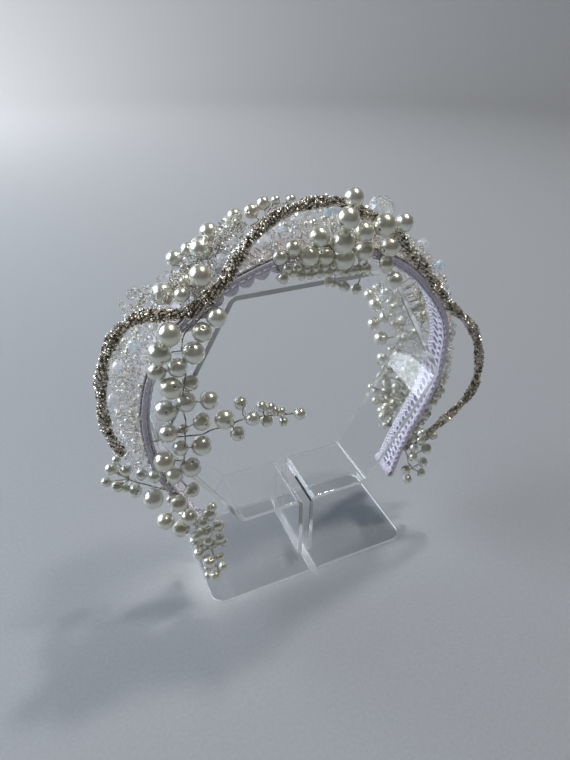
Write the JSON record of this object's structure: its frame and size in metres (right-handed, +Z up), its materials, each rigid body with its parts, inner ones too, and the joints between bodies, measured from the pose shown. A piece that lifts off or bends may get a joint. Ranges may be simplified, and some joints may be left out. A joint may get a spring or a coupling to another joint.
{
  "type": "pearl bridal headband on a clear display stand",
  "caption": "Bridal alice band dressed with wired pearls, clear crystals and a twisted bead rope, on a clear bent acrylic display stand.",
  "frame": {"origin": "centre of the whole object's box, on the surface that the stand's feet rest on", "axes": "+Z up, -Y towards the headband's front with the large pearls, +X to the right as seen from the front"},
  "size_m": [0.1742, 0.0637, 0.181],
  "materials": {
    "clear_acrylic": "clear polished acrylic sheet with bright edges",
    "band_metal": "pale satin, hidden under the beads and the braid",
    "lilac_braid": "pale lilac white gimp braid, matt with a soft sheen",
    "clear_crystal": "clear faceted glass with a faint pink and blue coating",
    "smoky_gold_beads": "smoky gold lined seed beads, sparkling",
    "ivory_pearl": "ivory glass pearl with a soft nacre gloss",
    "champagne_wire": "fine twisted craft wire, pale champagne"
  },
  "bodies": {
    "root": {"display_stand": "clear_acrylic", "band": "band_metal", "braid_lining": "lilac_braid", "crystal_bed_left": "clear_crystal", "crystal_bed_right": "clear_crystal", "bead_rope": "smoky_gold_beads", "crown_crystal": "clear_crystal", "front_garland": "ivory_pearl", "left_end_spray": "ivory_pearl", "outer_sprig": "ivory_pearl", "inner_sprig": "ivory_pearl", "back_garland": "ivory_pearl", "crown_cluster": "ivory_pearl", "right_garland": "ivory_pearl", "right_end_spray": "ivory_pearl"}
  },
  "joints": []
}
